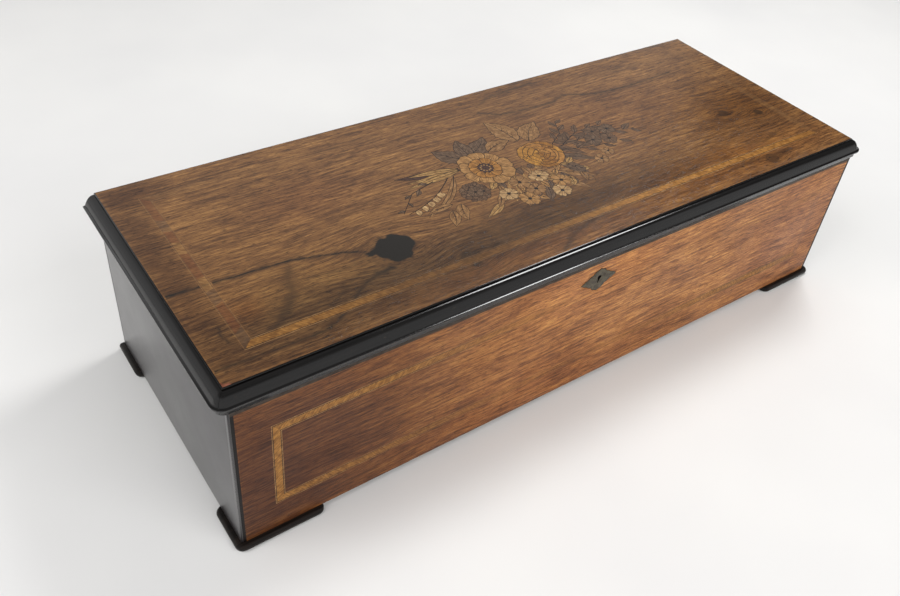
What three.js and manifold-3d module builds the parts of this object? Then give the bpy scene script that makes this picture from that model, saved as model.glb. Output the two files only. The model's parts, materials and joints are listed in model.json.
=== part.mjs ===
// A long low music box with a hinged lid, in millimetres, +Z up, its front facing -Y.
// The length runs along X, the feet stand at Z = 0, and the box is hollow and empty.
import * as THREE from 'three';
import { mergeVertices } from 'three/addons/utils/BufferGeometryUtils.js';
import Module from 'manifold-3d';

const wasm = await Module();
wasm.setup();

// Case
const caseLength = 561;
const caseDepth = 208;
const caseHeight = 121.5;
const wallThickness = 12;
const bottomThickness = 8;
const lapThickness = 4;
const caseArris = 1.25;

// Lid board, how far it stays inside the case's front and ends, and how far it passes its back
const frontStep = 5;
const endStep = 0.5;
const backOverhang = 2;
const boardThickness = 14.75;
const boardArris = 0.75;
const jointGap = 0.5;

// Lid moulding: reaches are outwards from the board, drops are down from the board's top
const shelfReach = 1;
const shelfDrop = 1.5;
const crownFlatReach = 4.2;
const crownFlatDrop = 2.05;
const crownTurnReach = 5.8;
const crownTurnDrop = 5.5;
const crownReach = 7;
const crownDrop = 8;
const ledgeDrop = 8.22;
const noseReach = 8.5;
const noseDrop = 8.8;
const noseBottom = 9.8;
const noseRound = 0.4;
const fasciaReach = 6;
const fasciaDrop = 10.5;

// Feet
const footHeight = 5.5;
const footReach = 4;
const footLength = 62;
const footWidth = 38;
const footRound = 2.5;
const footCornerRadius = 5.5;

// Escutcheon and keyhole, let into the front
const escutcheonLength = 33;
const escutcheonHeight = 20;
const escutcheonThickness = 1.4;
const escutcheonStand = 0.15;
const escutcheonAside = -4;
const escutcheonDrop = 18.5;
const pocketGap = 0.3;
const keyholeHeight = 7.4;
const keyholeRadius = 1.7;
const keyholeSlot = 1.9;
const keyholeDepth = 8;

// Butt hinges let into the joint at the back
const hingeLength = 50;
const hingeInset = 110;
const leafThickness = 1.5;
const leafReach = 11;
const knuckleRadius = 2.5;
const knuckleCount = 3;
const knuckleGap = 0.4;
const pinRadius = 1;
const pinStand = 0.6;
const pinFit = 0.1;
const hingeFit = 0.3;
const axisBehindBoard = 0.5;

// Sides of the round hinge parts, and steps along the curves of outlines
const roundSteps = 24;
const curveSteps = 10;
const cornerSteps = 6;

// A mitre halves a square corner
const mitreDegrees = 45;

// How far a cutting solid passes the faces that it cuts
const cutMargin = 1;

// Levels and places that follow from the sizes above
const caseTop = footHeight + caseHeight;
const boardBottom = caseTop + jointGap;
const boardTop = boardBottom + boardThickness;
const boardLength = caseLength - 2 * endStep;
const boardDepth = caseDepth - frontStep + backOverhang;
const caseFront = -frontStep;
const caseBack = caseFront + caseDepth;
const halfCase = caseLength / 2;
const halfBoard = boardLength / 2;
const innerX = halfCase - wallThickness;
const hingeAxisY = boardDepth + axisBehindBoard;
const hingeAxisZ = caseTop + jointGap / 2;
const frontmost = Math.min(-noseReach, caseFront - footReach);
const backmost = hingeAxisY + knuckleRadius;

// Finishes
const ebonised = new THREE.MeshStandardMaterial({ color: 0x1b1a19, roughness: 0.3 });
const veneered = new THREE.MeshStandardMaterial({ color: 0x9c6636, roughness: 0.35 });
const bareWood = new THREE.MeshStandardMaterial({ color: 0x9a7a55, roughness: 0.7 });
const plateMetal = new THREE.MeshStandardMaterial({ color: 0x5c574b, roughness: 0.45, metalness: 0.6 });
const brass = new THREE.MeshStandardMaterial({ color: 0xb08d4a, roughness: 0.4, metalness: 1 });

// The lid board's front edge is at Y = 0 inside the group, and the whole is centred in the end
const group = new THREE.Group();
group.position.set(0, -(frontmost + backmost) / 2, 0);

function addPiece(name, geometry, material) {
  const mesh = new THREE.Mesh(geometry, material);
  mesh.name = name;
  group.add(mesh);
}

// A closed geometry as a solid that can be joined and cut
function toSolid(geometry) {
  const bare = geometry.clone();
  bare.deleteAttribute('normal');
  bare.deleteAttribute('uv');
  const merged = mergeVertices(bare, 1e-4);
  return new wasm.Manifold(new wasm.Mesh({
    numProp: 3,
    vertProperties: new Float32Array(merged.attributes.position.array),
    triVerts: new Uint32Array(merged.index.array),
  }));
}

function toGeometry(solid) {
  const mesh = solid.getMesh();
  const geometry = new THREE.BufferGeometry();
  geometry.setAttribute('position', new THREE.BufferAttribute(mesh.vertProperties, 3));
  geometry.setIndex(new THREE.BufferAttribute(mesh.triVerts, 1));
  geometry.computeVertexNormals();
  return geometry;
}

function block(x0, x1, y0, y1, z0, z1) {
  const geometry = new THREE.BoxGeometry(x1 - x0, y1 - y0, z1 - z0);
  geometry.translate((x0 + x1) / 2, (y0 + y1) / 2, (z0 + z1) / 2);
  return geometry;
}

// A rod along X on the hinge axis, from x0 to x1
function axisRod(x0, x1, radius) {
  const geometry = new THREE.CylinderGeometry(radius, radius, x1 - x0, roundSteps);
  geometry.rotateZ(Math.PI / 2);
  geometry.translate((x0 + x1) / 2, hingeAxisY, hingeAxisZ);
  return geometry;
}

// A rectangle in plan with its front and back corners rounded
function roundedPlan(x0, x1, y0, y1, frontRadius, backRadius) {
  const plan = new THREE.Shape();
  plan.moveTo(x0 + frontRadius, y0);
  plan.lineTo(x1 - frontRadius, y0);
  if (frontRadius > 0) {
    plan.absarc(x1 - frontRadius, y0 + frontRadius, frontRadius, -Math.PI / 2, 0, false);
  }
  plan.lineTo(x1, y1 - backRadius);
  if (backRadius > 0) {
    plan.absarc(x1 - backRadius, y1 - backRadius, backRadius, 0, Math.PI / 2, false);
  }
  plan.lineTo(x0 + backRadius, y1);
  if (backRadius > 0) {
    plan.absarc(x0 + backRadius, y1 - backRadius, backRadius, Math.PI / 2, Math.PI, false);
  }
  plan.lineTo(x0, y0 + frontRadius);
  if (frontRadius > 0) {
    plan.absarc(x0 + frontRadius, y0 + frontRadius, frontRadius, Math.PI, Math.PI * 1.5, false);
  }
  return plan;
}

function raise(plan, z0, z1) {
  const geometry = new THREE.ExtrudeGeometry(plan, {
    depth: z1 - z0,
    bevelEnabled: false,
    curveSegments: cornerSteps,
  });
  geometry.translate(0, 0, z0);
  return geometry;
}

// A plan raised from z0 to z1, its upper and lower edges rounded over
function raiseRounded(plan, z0, z1, round) {
  const geometry = new THREE.ExtrudeGeometry(plan, {
    depth: z1 - z0 - 2 * round,
    bevelEnabled: true,
    bevelThickness: round,
    bevelSize: round,
    bevelOffset: -round,
    bevelSegments: cornerSteps,
    curveSegments: cornerSteps,
  });
  geometry.translate(0, 0, z0 + round);
  return geometry;
}

// The middles of the two hinges along X
const hingePlaces = [
  { side: 'left', x: -halfCase + hingeInset },
  { side: 'right', x: halfCase - hingeInset },
];

// Takes the pockets for the leaves and knuckles out of the wood on either side of the joint
function cutHingePockets(wood, z0, z1) {
  const halfPocket = hingeLength / 2 + pinStand + hingeFit;
  const pocketFront = hingeAxisY - leafReach - hingeFit;
  let cut = wood;
  for (const { x } of hingePlaces) {
    const pocket = block(x - halfPocket, x + halfPocket, pocketFront, hingeAxisY, z0, z1);
    const channel = axisRod(x - halfPocket, x + halfPocket, knuckleRadius + hingeFit);
    cut = cut.subtract(toSolid(pocket)).subtract(toSolid(channel));
  }
  return cut;
}

// A long wall lapped over the ends of the case, drawn with its outer face at Y = 0
function longWall() {
  const plan = new THREE.Shape();
  plan.moveTo(-halfCase + caseArris, 0);
  plan.lineTo(halfCase - caseArris, 0);
  plan.absarc(halfCase - caseArris, caseArris, caseArris, -Math.PI / 2, 0, false);
  plan.lineTo(halfCase, lapThickness);
  plan.lineTo(innerX, lapThickness);
  plan.lineTo(innerX, wallThickness);
  plan.lineTo(-innerX, wallThickness);
  plan.lineTo(-innerX, lapThickness);
  plan.lineTo(-halfCase, lapThickness);
  plan.lineTo(-halfCase, caseArris);
  plan.absarc(-halfCase + caseArris, caseArris, caseArris, Math.PI, Math.PI * 1.5, false);
  return raise(plan, footHeight, caseTop);
}

// One quarter of the escutcheon's edge, from its right tip to its top: a lozenge with small cusps
function escutcheonQuarter(margin) {
  const tip = escutcheonLength / 2 + margin * Math.SQRT2;
  const rise = escutcheonHeight / 2 + margin;
  return [[1, 0], [0.77, 0.25], [0.68, 0.27], [0.5, 0.5], [0.4, 0.53], [0.25, 0.83], [0.14, 0.86], [0, 1]]
    .map(([across, up]) => [across * tip, up * rise]);
}

function escutcheonOutline(margin) {
  const quarter = escutcheonQuarter(margin);
  const left = quarter.slice(0, -1).reverse().map(([x, z]) => [-x, z]);
  const upper = quarter.concat(left);
  const lower = upper.slice(1, -1).reverse().map(([x, z]) => [x, -z]);
  return new THREE.Shape(upper.concat(lower).map(([x, z]) => new THREE.Vector2(x, z)));
}

// Draws a keyhole, a round head over a straight slot, into an empty path
function drawKeyhole(path) {
  const headZ = keyholeHeight / 2 - keyholeRadius;
  const neck = Math.asin(keyholeSlot / 2 / keyholeRadius);
  path.moveTo(keyholeSlot / 2, -keyholeHeight / 2);
  path.absarc(0, headZ, keyholeRadius, -Math.PI / 2 + neck, Math.PI * 1.5 - neck, false);
  path.lineTo(-keyholeSlot / 2, -keyholeHeight / 2);
  return path;
}

// An outline drawn in X and Z, made solid from y0 back to y1 at the keyhole's place
function throughFront(outline, y0, y1) {
  const geometry = new THREE.ExtrudeGeometry(outline, {
    depth: y1 - y0,
    bevelEnabled: false,
    curveSegments: curveSteps,
  });
  geometry.rotateX(Math.PI / 2);
  geometry.translate(escutcheonAside, y1, caseTop - escutcheonDrop);
  return geometry;
}

function makeCase() {
  const plateFace = caseFront - escutcheonStand;
  const pocket = throughFront(escutcheonOutline(pocketGap), plateFace, plateFace + escutcheonThickness);
  const keyway = throughFront(drawKeyhole(new THREE.Shape()), plateFace, caseFront + keyholeDepth);
  const front = longWall();
  front.translate(0, caseFront, 0);
  const frontCut = toSolid(front).subtract(toSolid(pocket)).subtract(toSolid(keyway));
  addPiece('case_front', toGeometry(frontCut), veneered);

  const back = longWall();
  back.rotateZ(Math.PI);
  back.translate(0, caseBack, 0);
  const backCut = cutHingePockets(toSolid(back), caseTop - leafThickness, boardBottom);
  addPiece('case_back', toGeometry(backCut), ebonised);

  const endFront = caseFront + lapThickness;
  const endBack = caseBack - lapThickness;
  addPiece('case_left_end', block(-halfCase, -innerX, endFront, endBack, footHeight, caseTop), ebonised);
  addPiece('case_right_end', block(innerX, halfCase, endFront, endBack, footHeight, caseTop), ebonised);

  const bottomFront = caseFront + wallThickness;
  const bottomBack = caseBack - wallThickness;
  const bottomTop = footHeight + bottomThickness;
  addPiece('case_bottom', block(-innerX, innerX, bottomFront, bottomBack, footHeight, bottomTop), bareWood);
}

function makeEscutcheon() {
  const outline = escutcheonOutline(0);
  outline.holes.push(drawKeyhole(new THREE.Path()));
  const plateFace = caseFront - escutcheonStand;
  addPiece('escutcheon', throughFront(outline, plateFace, plateFace + escutcheonThickness), plateMetal);
}

// Feet: moulded pads under the corners, the back ones cut square in line with the case back
function makeFeet() {
  for (const [sideName, side] of [['left', -1], ['right', 1]]) {
    const outerX = side * (halfCase + footReach);
    const farX = outerX - side * footLength;
    const x0 = Math.min(outerX, farX);
    const x1 = Math.max(outerX, farX);

    const frontY = caseFront - footReach;
    const frontPlan = roundedPlan(x0, x1, frontY, frontY + footWidth, footCornerRadius, footCornerRadius);
    addPiece(`foot_front_${sideName}`, raiseRounded(frontPlan, 0, footHeight, footRound), ebonised);

    const backY = caseBack - footWidth;
    const backPlan = roundedPlan(x0, x1, backY, caseBack + footWidth, footCornerRadius, footCornerRadius);
    const whole = toSolid(raiseRounded(backPlan, 0, footHeight, footRound));
    const kept = toSolid(block(
      x0 - cutMargin,
      x1 + cutMargin,
      backY - cutMargin,
      caseBack,
      -cutMargin,
      footHeight + cutMargin,
    ));
    addPiece(`foot_back_${sideName}`, toGeometry(whole.intersect(kept)), ebonised);
  }
}

// The lid moulding cut across: X is outwards from the board and Y is up from its top
function mouldingSection() {
  const section = new THREE.Shape();
  section.moveTo(0, -boardThickness);
  section.lineTo(fasciaReach, -boardThickness);
  section.lineTo(fasciaReach, -fasciaDrop);
  section.lineTo(noseReach - noseRound, -noseBottom);
  section.lineTo(noseReach, -noseBottom + noseRound);
  section.lineTo(noseReach, -noseDrop);
  section.quadraticCurveTo(noseReach, -ledgeDrop, noseReach - noseRound, -ledgeDrop);
  section.lineTo(crownReach, -crownDrop);
  section.bezierCurveTo(
    crownTurnReach, -crownTurnDrop, crownFlatReach, -crownFlatDrop, shelfReach, -shelfDrop,
  );
  section.lineTo(0, -shelfDrop);
  return section;
}

// A run of moulding that stands outwards from the board, clockwise round it seen from above
function mouldingRun(length, outward, startX, startY) {
  const geometry = new THREE.ExtrudeGeometry(mouldingSection(), {
    depth: length,
    bevelEnabled: false,
    curveSegments: curveSteps,
  });
  const up = new THREE.Vector3(0, 0, 1);
  const forward = new THREE.Vector3().crossVectors(outward, up);
  geometry.applyMatrix4(new THREE.Matrix4().makeBasis(outward, up, forward));
  geometry.translate(startX, startY, boardTop);
  return toSolid(geometry);
}

// Half of a front corner, where the moulding goes round the board's corner as far as the mitre
function mouldingCorner(x, startDegrees) {
  const outline = mouldingSection().getPoints(curveSteps).map((point) => [point.x, point.y]);
  const sector = wasm.Manifold.revolve([outline], cornerSteps, mitreDegrees);
  return sector.rotate([0, 0, startDegrees]).translate([x, 0, boardTop]);
}

function makeLid() {
  const boardPlan = roundedPlan(-halfBoard, halfBoard, 0, boardDepth, 0, 0);
  const board = toSolid(raiseRounded(boardPlan, boardBottom, boardTop, boardArris));
  const panel = cutHingePockets(board, caseTop, boardBottom + leafThickness);
  addPiece('lid_panel', toGeometry(panel), veneered);

  const front = mouldingRun(boardLength, new THREE.Vector3(0, -1, 0), halfBoard, 0)
    .add(mouldingCorner(halfBoard, -90))
    .add(mouldingCorner(-halfBoard, -135));
  addPiece('lid_moulding_front', toGeometry(front), ebonised);
  const left = mouldingRun(boardDepth, new THREE.Vector3(-1, 0, 0), -halfBoard, 0)
    .add(mouldingCorner(-halfBoard, -180));
  addPiece('lid_moulding_left', toGeometry(left), ebonised);
  const right = mouldingRun(boardDepth, new THREE.Vector3(1, 0, 0), halfBoard, boardDepth)
    .add(mouldingCorner(halfBoard, -45));
  addPiece('lid_moulding_right', toGeometry(right), ebonised);
}

// One leaf: a plate from z0 to z1 with every other knuckle, bored for the pin
function hingeLeaf(x, z0, z1, firstKnuckle) {
  const start = x - hingeLength / 2;
  const pitch = hingeLength / knuckleCount;
  const plate = block(start, start + hingeLength, hingeAxisY - leafReach, hingeAxisY, z0, z1);
  let leaf = toSolid(plate);
  for (let i = 0; i < knuckleCount; i += 1) {
    const x0 = start + i * pitch;
    const x1 = x0 + pitch;
    if (i % 2 === firstKnuckle) {
      const k0 = i === 0 ? x0 : x0 + knuckleGap / 2;
      const k1 = i === knuckleCount - 1 ? x1 : x1 - knuckleGap / 2;
      leaf = leaf.add(toSolid(axisRod(k0, k1, knuckleRadius)));
    } else {
      const k0 = i === 0 ? x0 - cutMargin : x0 - knuckleGap / 2;
      const k1 = i === knuckleCount - 1 ? x1 + cutMargin : x1 + knuckleGap / 2;
      leaf = leaf.subtract(toSolid(axisRod(k0, k1, knuckleRadius + hingeFit)));
    }
  }
  const bore = toSolid(axisRod(start - cutMargin, start + hingeLength + cutMargin, pinRadius + pinFit));
  return toGeometry(leaf.subtract(bore));
}

function makeHinges() {
  for (const { side, x } of hingePlaces) {
    const halfPin = hingeLength / 2 + pinStand;
    addPiece(`hinge_${side}_case_leaf`, hingeLeaf(x, caseTop - leafThickness, caseTop, 0), brass);
    addPiece(`hinge_${side}_lid_leaf`, hingeLeaf(x, boardBottom, boardBottom + leafThickness, 1), brass);
    addPiece(`hinge_${side}_pin`, axisRod(x - halfPin, x + halfPin, pinRadius), brass);
  }
}

makeCase();
makeEscutcheon();
makeFeet();
makeLid();
makeHinges();

export default group;
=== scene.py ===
import json
import math
import random

import bmesh
import bpy
import numpy as np
from mathutils import Matrix, Vector, noise
from mathutils.geometry import delaunay_2d_cdt


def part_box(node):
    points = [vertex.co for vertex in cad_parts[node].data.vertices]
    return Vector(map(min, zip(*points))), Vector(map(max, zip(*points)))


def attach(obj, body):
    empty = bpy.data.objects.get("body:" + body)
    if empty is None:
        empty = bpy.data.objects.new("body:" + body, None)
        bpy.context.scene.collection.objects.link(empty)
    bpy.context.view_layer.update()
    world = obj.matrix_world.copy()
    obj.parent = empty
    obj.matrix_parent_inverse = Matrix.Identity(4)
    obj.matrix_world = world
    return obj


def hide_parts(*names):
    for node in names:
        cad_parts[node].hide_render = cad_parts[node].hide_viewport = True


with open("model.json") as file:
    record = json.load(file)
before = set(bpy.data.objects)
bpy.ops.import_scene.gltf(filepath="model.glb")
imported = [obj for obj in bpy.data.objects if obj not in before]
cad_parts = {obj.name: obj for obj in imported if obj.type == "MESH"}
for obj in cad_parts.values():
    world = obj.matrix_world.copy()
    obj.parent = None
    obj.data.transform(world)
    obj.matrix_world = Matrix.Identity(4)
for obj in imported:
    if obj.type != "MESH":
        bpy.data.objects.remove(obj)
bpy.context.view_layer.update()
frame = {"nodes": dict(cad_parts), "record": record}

scene = bpy.context.scene
solids = frame["nodes"]
bodyOf = {node: body for body, members in frame["record"]["behaviour"]["bodies"].items() for node in members}
mm = 0.001
print("frame loaded:", len(solids), "solids")

camera = {
    "spot": (-392.3, -422.9, 506.0),  # mm, in the box's own frame
    "forward": (0.49098, 0.58881, -0.64206),
    "down": (-0.31526, -0.56697, -0.76102),
    "lens": 35.984,
    "shift": (-0.0152, -0.0201),
}


def makeCamera():
    forward = Vector(camera["forward"]).normalized()
    down = Vector(camera["down"])
    down = (down - forward * down.dot(forward)).normalized()
    right = down.cross(forward)
    data = bpy.data.cameras.new("camera")
    data.sensor_width = 36
    data.lens = camera["lens"]
    data.shift_x, data.shift_y = camera["shift"]
    data.clip_start = 0.01
    data.clip_end = 50
    holder = bpy.data.objects.new("camera", data)
    scene.collection.objects.link(holder)
    turn = Matrix((right, -down, -forward)).transposed().to_4x4()
    holder.matrix_world = Matrix.Translation(Vector(camera["spot"]) * mm) @ turn
    scene.camera = holder


makeCamera()
print("camera placed")


# node helpers, used by every material

def colourOf(text, alpha=1.0):
    parts = [int(text[i:i + 2], 16) / 255 for i in (0, 2, 4)]
    linear = [p / 12.92 if p <= 0.04045 else ((p + 0.055) / 1.055) ** 2.4 for p in parts]
    return (*linear, alpha)


def addNode(tree, kind, inputs=None, **settings):
    item = tree.nodes.new(kind)
    for key, value in settings.items():
        setattr(item, key, value)
    for slot, value in (inputs or {}).items():
        if isinstance(value, bpy.types.NodeSocket):
            tree.links.new(value, item.inputs[slot])
        else:
            item.inputs[slot].default_value = value
    return item


def maths(tree, operation, a, b=0.0, c=0.0, clamp=False):
    item = addNode(tree, "ShaderNodeMath", {0: a, 1: b, 2: c}, operation=operation, use_clamp=clamp)
    return item.outputs[0]


def combined(tree, x, y, z=0.0):
    return addNode(tree, "ShaderNodeCombineXYZ", {0: x, 1: y, 2: z}).outputs[0]


def painted(tree, name):
    # what the mesh itself carries at each point
    return addNode(tree, "ShaderNodeAttribute", None, attribute_name=name).outputs


def scaled(tree, vector, by):
    return addNode(tree, "ShaderNodeVectorMath", {0: vector, 1: by}, operation="MULTIPLY").outputs[0]


def cloud(tree, vector, detail=2.0, roughness=0.5, distortion=0.0):
    inputs = {"Vector": vector, "Scale": 1.0, "Detail": detail,
              "Roughness": roughness, "Distortion": distortion}
    return addNode(tree, "ShaderNodeTexNoise", inputs).outputs[0]


def ranged(tree, value, low, high, toLow=0.0, toHigh=1.0):
    inputs = {"Value": value, "From Min": low, "From Max": high, "To Min": toLow, "To Max": toHigh}
    return addNode(tree, "ShaderNodeMapRange", inputs, interpolation_type="SMOOTHSTEP").outputs[0]


def blended(tree, share, a, b, mode="MIX"):
    item = addNode(tree, "ShaderNodeMix", None, data_type="RGBA", blend_type=mode)
    for slot, value in ((0, share), (6, a), (7, b)):
        if isinstance(value, bpy.types.NodeSocket):
            tree.links.new(value, item.inputs[slot])
        else:
            item.inputs[slot].default_value = value
    return item.outputs[2]


def ramped(tree, value, stops):
    item = addNode(tree, "ShaderNodeValToRGB", {"Fac": value})
    ramp = item.color_ramp
    while len(ramp.elements) < len(stops):
        ramp.elements.new(0.5)
    for element, (place, tint) in zip(ramp.elements, stops):
        element.position = place
        element.color = colourOf(tint)
    return item.outputs["Color"]


def objectCoords(tree):
    coords = addNode(tree, "ShaderNodeTexCoord").outputs["Object"]
    return scaled(tree, coords, (1000, 1000, 1000))  # in mm


def newMaterial(name):
    material = bpy.data.materials.new(name)
    material.use_nodes = True
    return material, material.node_tree, material.node_tree.nodes["Principled BSDF"]


def addBump(tree, shader, height, depth, strength):
    inputs = {"Height": height, "Distance": depth * mm, "Strength": strength}
    bump = addNode(tree, "ShaderNodeBump", inputs)
    tree.links.new(bump.outputs["Normal"], shader.inputs["Normal"])


floorLook = {"size": 6.0, "pale": "e9e8e6", "dim": "e3e2e1"}

studio = {
    "wall": 0.60,  # the pale wall behind, on the left and in front
    "ceiling": 0.20,
    "dark": 0.10,  # the open side of the room, to the right
    "lamps": [
        # name, place, aim, width, height, watts, seen in glossy surfaces
        ("crownSoftbox", (0.79, 0.27, 1.3), (-0.05, -0.1, 0.14), 0.42, 0.46, 9.6, True),
        ("leftSoftbox", (-1.6, 0.0, 1.5), (-0.1, 0.0, 0.0), 1.5, 1.5, 25.0, False),
        ("frontSoftbox", (0.4, -1.9, 1.7), (0.1, -0.1, 0.0), 1.6, 1.2, 28.0, False),
    ],
}


def makeFloor():
    half = floorLook["size"] / 2
    corners = [(-half, -half, 0), (half, -half, 0), (half, half, 0), (-half, half, 0)]
    mesh = bpy.data.meshes.new("floor")
    mesh.from_pydata(corners, [], [(0, 1, 2, 3)])
    floor = bpy.data.objects.new("floor", mesh)
    scene.collection.objects.link(floor)
    material, tree, shader = newMaterial("paperFloor")
    mottle = cloud(tree, scaled(tree, objectCoords(tree), (0.004, 0.004, 0.004)), 3)
    tint = ramped(tree, mottle, [(0.35, floorLook["dim"]), (0.65, floorLook["pale"])])
    tree.links.new(tint, shader.inputs["Base Color"])
    shader.inputs["Roughness"].default_value = 0.8
    mesh.materials.append(material)


def makeLight():
    world = bpy.data.worlds.new("studio")
    world.use_nodes = True
    scene.world = world
    tree = world.node_tree
    towards = addNode(tree, "ShaderNodeTexCoord").outputs["Generated"]
    parts = addNode(tree, "ShaderNodeSeparateXYZ", {0: towards}).outputs
    # the wall behind ends to the right of the box, and to the right of that the room is dark
    edge = maths(tree, "MULTIPLY_ADD", parts["X"], -0.66, parts["Y"])
    front = maths(tree, "MULTIPLY_ADD", parts["X"], 0.45, parts["Y"])
    lit = maths(tree, "MAXIMUM", ranged(tree, edge, 0.0, 0.12), ranged(tree, front, 0.0, -0.15))
    lit = maths(tree, "MAXIMUM", lit, ranged(tree, parts["X"], 0.1, -0.1))
    side = maths(tree, "MULTIPLY_ADD", lit, studio["wall"] - studio["dark"], studio["dark"])
    above = ranged(tree, parts["Z"], 0.55, 0.80)
    gap = maths(tree, "SUBTRACT", studio["ceiling"], side)
    strength = maths(tree, "MULTIPLY_ADD", above, gap, side)
    tree.nodes["Background"].inputs["Color"].default_value = (1.0, 1.0, 1.0, 1.0)
    tree.links.new(strength, tree.nodes["Background"].inputs["Strength"])

    for name, place, aim, width, height, watts, glossy in studio["lamps"]:
        data = bpy.data.lights.new(name, "AREA")
        data.shape = "RECTANGLE"
        data.size, data.size_y, data.energy = width, height, watts
        lamp = bpy.data.objects.new(name, data)
        scene.collection.objects.link(lamp)
        lamp.visible_glossy = glossy
        lamp.location = place
        lamp.rotation_euler = (Vector(aim) - Vector(place)).to_track_quat("-Z", "Y").to_euler()
    scene.view_settings.view_transform = "Standard"


makeFloor()
makeLight()
print("floor and light ready")

veneerLook = {
    "lid": {
        "stops": [(0.36, "332012"), (0.46, "5f4027"), (0.54, "835c35"), (0.65, "ab7f4b")],
        "pores": "24160d",
        "vein": "1b1713",
        "across": "Y",
        "seed": 0.0,
        "rough": (0.11, 0.17),
        "mirror": 0.4,
    },
    "front": {
        "stops": [(0.40, "59351d"), (0.47, "8b5832"), (0.53, "b0743f"), (0.60, "cf9552")],
        "pores": "41230f",
        "vein": "2a1a12",
        "across": "Z",
        "seed": 37.0,
        "rough": (0.40, 0.52),
        "mirror": 0.25,
    },
}

veneerGrain = {
    # how fast each noise changes along and across the grain per mm, its detail and its roughness
    "noises": {
        "broad": ((0.018, 0.06, 1), 3, 0.6),
        "streak": ((0.03, 0.5, 1), 4, 0.65),
        "hair": ((0.10, 1.3, 1), 4, 0.7),
        "fleck": ((0.20, 1.7, 1), 2, 0.5),
    },
    "shares": {"broad": 0.20, "streak": 0.40, "hair": 0.40},
    "wander": ((0.006, 0.014, 1), 14.0),  # how fast the grain strays, and how far in mm
    "fibre": [(0.3, "8a7a6c"), (0.65, "ffffff")],
    "speck": [(0.3, "c4b9b0"), (0.7, "ffffff")],
}


def makeVeneer(name, look):
    material, tree, shader = newMaterial(name)
    parts = addNode(tree, "ShaderNodeSeparateXYZ", {0: objectCoords(tree)}).outputs
    flow = painted(tree, "flow")["Fac"]
    across = maths(tree, "ADD", parts[look["across"]], flow)
    flat = combined(tree, parts["X"], across, look["seed"])

    pace, reach = veneerGrain["wander"]
    bent = maths(tree, "MULTIPLY_ADD", cloud(tree, scaled(tree, flat, pace), 3), reach, across)
    grain = combined(tree, parts["X"], bent, look["seed"])
    noises = {}
    for key, (size, detail, roughness) in veneerGrain["noises"].items():
        noises[key] = cloud(tree, scaled(tree, grain, size), detail, roughness)
    streak, hair = noises["streak"], noises["hair"]
    mix = 0.0
    for key, share in veneerGrain["shares"].items():
        mix = maths(tree, "MULTIPLY_ADD", noises[key], share, mix)
    tint = ramped(tree, mix, look["stops"])
    pores = ranged(tree, noises["fleck"], 0.57, 0.64)
    tint = blended(tree, maths(tree, "MULTIPLY", pores, 0.6), tint, colourOf(look["pores"]))

    # fine growth lines, clearest where the grain bends round a knot
    lines = maths(tree, "MULTIPLY_ADD", streak, 2.2, maths(tree, "MULTIPLY", bent, 0.28))
    lines = maths(tree, "PINGPONG", lines, 0.5)
    swirl = ranged(tree, maths(tree, "ABSOLUTE", flow), 0.5, 6.0, 0.10, 0.55)
    lines = maths(tree, "MULTIPLY", ranged(tree, lines, 0.12, 0.02), swirl)
    tint = blended(tree, lines, tint, colourOf(look["pores"]))

    # stains, veins and knots come from the sheet itself
    tint = blended(tree, 1.0, tint, painted(tree, "stain")["Color"], "MULTIPLY")
    mark = painted(tree, "vein")["Fac"]
    ragged = maths(tree, "MULTIPLY_ADD", streak, 0.5, maths(tree, "MULTIPLY", hair, 0.35))
    vein = maths(tree, "MULTIPLY", mark, ranged(tree, ragged, 0.34, 0.46, 0.45, 1.2))
    solid = maths(tree, "SUBTRACT", mark, 1.0, clamp=True)
    vein = maths(tree, "MULTIPLY_ADD", solid, 2.5, vein, clamp=True)
    tint = blended(tree, vein, tint, colourOf(look["vein"]))

    # inlaid pieces have their own colour, and a grain that runs their own way
    inlay = painted(tree, "inlay")
    level = combined(tree, parts["X"], parts[look["across"]])
    inputs = {"Vector": level, "Angle": painted(tree, "turn")["Fac"]}
    turned = addNode(tree, "ShaderNodeVectorRotate", inputs, rotation_type="Z_AXIS").outputs[0]
    fibre = cloud(tree, scaled(tree, turned, (0.12, 1.3, 1)), 4, 0.6)
    speck = cloud(tree, scaled(tree, level, (0.3, 0.3, 1)), 2)
    own = inlay["Color"]
    for pattern, stops in ((fibre, veneerGrain["fibre"]), (speck, veneerGrain["speck"])):
        own = blended(tree, 1.0, own, ramped(tree, pattern, stops), "MULTIPLY")
    tint = blended(tree, inlay["Alpha"], tint, own)
    tree.links.new(tint, shader.inputs["Base Color"])

    haze = cloud(tree, scaled(tree, flat, (0.02, 0.02, 1)), 4)
    tree.links.new(ranged(tree, haze, 0.3, 0.7, *look["rough"]), shader.inputs["Roughness"])
    shader.inputs["Specular IOR Level"].default_value = look["mirror"]
    sunk = maths(tree, "MULTIPLY", pores, 0.5)
    relief = maths(tree, "SUBTRACT", maths(tree, "MULTIPLY", streak, 0.6), sunk)
    addBump(tree, shader, relief, 0.12, 0.35)
    return material


ebonyLook = {
    "moulding": {"black": "070606", "rubbed": "110f0e", "rough": (0.10, 0.15), "coat": 0.0, "grain": 0.03,
                 "mirror": 0.62, "wear": (0.66, 0.70), "worn": "8d8378"},
    "panel": {"black": "191517", "rubbed": "241e20", "rough": (0.36, 0.42), "coat": 0.7, "grain": 0.04,
              "mirror": 1.0, "wear": (0.50, 0.66), "worn": "2c211b"},
    "foot": {"black": "0d0b0a", "rubbed": "241d19", "rough": (0.36, 0.52), "coat": 0.0, "grain": 0.2,
             "mirror": 0.22, "wear": (0.50, 0.66), "worn": "5a4434"},
}

ebonyWear = {
    "scuffed": "57483a",
    "reach": 0.9,  # mm from a sharp edge that can be worn
    "coatRough": 0.4,
}


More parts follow.
